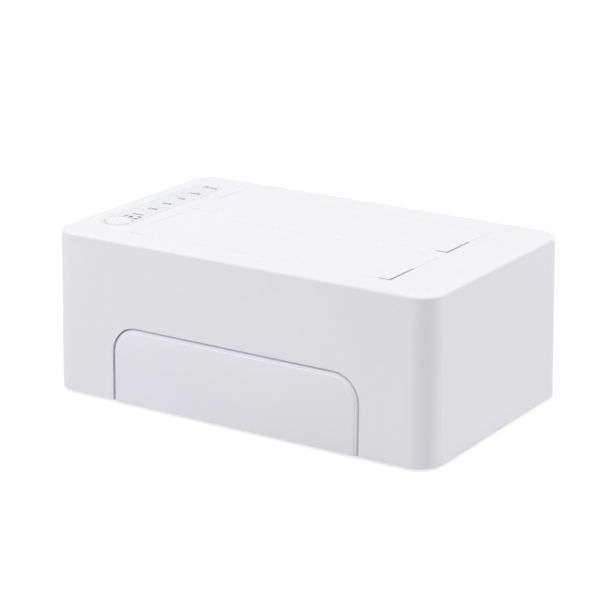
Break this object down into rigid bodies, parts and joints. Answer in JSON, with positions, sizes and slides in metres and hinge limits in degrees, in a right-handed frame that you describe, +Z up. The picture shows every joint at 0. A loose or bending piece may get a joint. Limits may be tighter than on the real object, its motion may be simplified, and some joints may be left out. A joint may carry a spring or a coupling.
{
  "type": "two-bay hard drive dock and duplicator",
  "caption": "Low white case with sprung flaps over drive bays side by side, a control strip with a start button, and sockets and a rocker switch at the rear.",
  "frame": {"origin": "middle of the rectangle that the case covers on the table, at the bottom of the rubber feet", "axes": "+X along the long side to the right seen from the front, +Y from the front to the rear sockets, +Z up"},
  "size_m": [0.154, 0.094, 0.0593],
  "materials": {
    "case_white": "fine satin moulded white plastic",
    "panel_white": "fine satin moulded white plastic",
    "flap_white": "fine satin moulded white plastic",
    "strip_white": "smooth printed plastic film",
    "button_white": "smooth white plastic",
    "guide_white": "moulded white plastic",
    "socket_black": "black engineering plastic",
    "switch_black": "black moulded plastic",
    "port_metal": "nickel plated sheet steel",
    "bright_steel": "bright drawn steel",
    "screw_steel": "zinc plated steel",
    "board_green": "solder mask on glass fibre board",
    "chip_black": "black moulded package",
    "can_metal": "drawn aluminium can",
    "light_clear": "clear light pipe",
    "header_ivory": "ivory nylon header",
    "cable_grey": "flat grey cable",
    "rubber_black": "soft rubber"
  },
  "bodies": {
    "housing": {"top_cover": "case_white", "base_plate": "case_white", "front_panel": "panel_white", "front_bay_guide": "guide_white", "rear_bay_guide": "guide_white", "front_flap_pin": "bright_steel", "rear_flap_pin": "bright_steel", "front_flap_spring": "bright_steel", "rear_flap_spring": "bright_steel", "indicator_strip": "strip_white", "control_board": "board_green", "start_switch": "chip_black", "status_lights": "light_clear", "cable_headers": "header_ivory", "board_cable": "cable_grey", "main_board": "board_green", "front_drive_socket": "socket_black", "rear_drive_socket": "socket_black", "usb_port": "port_metal", "power_jack": "socket_black", "power_switch": "switch_black", "controller_chip": "chip_black", "bridge_chips": "chip_black", "inductors": "chip_black", "capacitors": "can_metal", "feet": "rubber_black", "case_screws": "screw_steel", "board_screws": "screw_steel", "guide_screws": "screw_steel"},
    "front_flap": {"front_bay_flap": "flap_white"},
    "rear_flap": {"rear_bay_flap": "flap_white"},
    "start_button": {"start_button": "button_white"},
    "power_rocker": {"power_rocker": "switch_black"}
  },
  "joints": [
    {"name": "front_flap_hinge", "type": "hinge", "parent": "housing", "child": "front_flap", "pos_m": [0.00175, -0.0032, 0.0544], "axis": [1, 0, 0], "range_deg": [0, 90], "stiffness_Nm_per_rad": 0.006, "springref_deg": -68.75},
    {"name": "rear_flap_hinge", "type": "hinge", "parent": "housing", "child": "rear_flap", "pos_m": [0.00175, 0.0343, 0.0544], "axis": [1, 0, 0], "range_deg": [0, 90], "stiffness_Nm_per_rad": 0.006, "springref_deg": -68.75},
    {"name": "start_button_press", "type": "slide", "parent": "housing", "child": "start_button", "axis": [0, 0, -1], "range_m": [0, 0.0008], "stiffness_N_per_m": 800, "springref_m": -0.0006},
    {"name": "power_rocker_tilt", "type": "hinge", "parent": "housing", "child": "power_rocker", "pos_m": [0.04701, 0.04221, 0.0138], "axis": [0, 0, 1], "range_deg": [-14, 0]}
  ]
}
